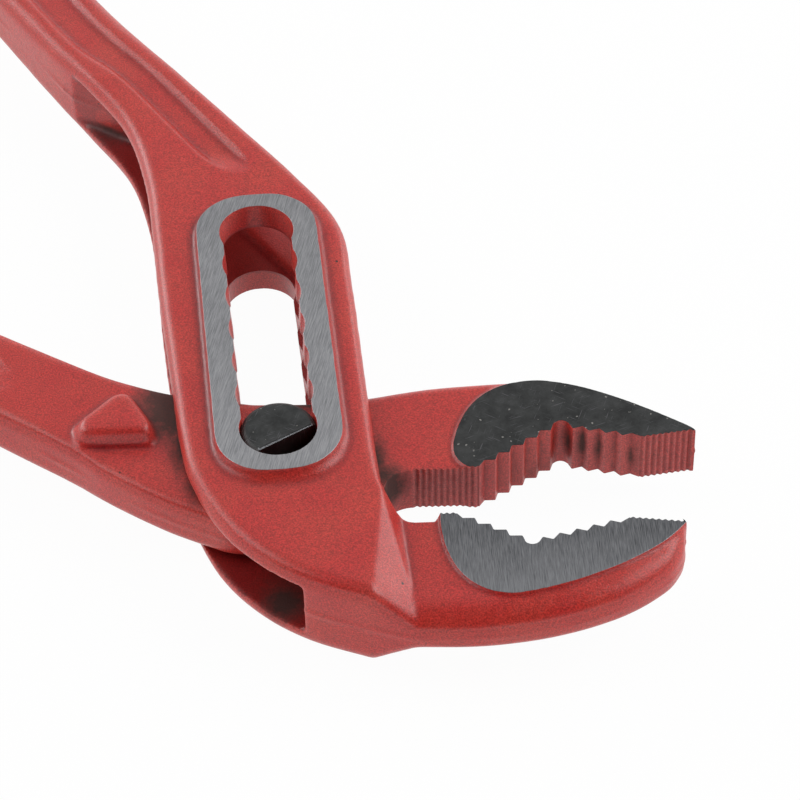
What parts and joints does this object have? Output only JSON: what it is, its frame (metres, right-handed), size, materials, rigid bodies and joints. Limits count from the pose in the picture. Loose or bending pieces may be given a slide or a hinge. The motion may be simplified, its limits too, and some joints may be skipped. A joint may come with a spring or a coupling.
{
  "type": "water pump pliers",
  "caption": "Box-joint water pump pliers with forged red lacquered arms, a grooved adjusting slot, a sliding pivot pin and toothed jaws.",
  "frame": {"origin": "pivot axis at the lower end face of the pivot pin, with the jaws part open as in the picture", "axes": "+Z along the pivot axis, +X from the pivot towards the jaws, +Y roughly along the adjusting slot away from its lowest groove"},
  "size_m": [0.2341, 0.2121, 0.0161],
  "materials": {
    "red_lacquer": "satin stoved lacquer over a blasted forging, ground bare on the lands",
    "black_oxide_steel": "black oxide over a machined end face"
  },
  "bodies": {
    "outer_arm": {"outer_arm": "red_lacquer"},
    "pivot_pin": {"pivot_pin": "black_oxide_steel"},
    "inner_arm": {"inner_arm": "red_lacquer"}
  },
  "joints": [
    {"name": "slot_adjust", "type": "slide", "parent": "outer_arm", "child": "pivot_pin", "axis": [-0.0872, 0.9962, 0], "range_m": [0, 0.0384]},
    {"name": "jaw_pivot", "type": "hinge", "parent": "pivot_pin", "child": "inner_arm", "pos_m": [0, 0, 0], "axis": [0, 0, 1], "range_deg": [-17, 30]}
  ]
}
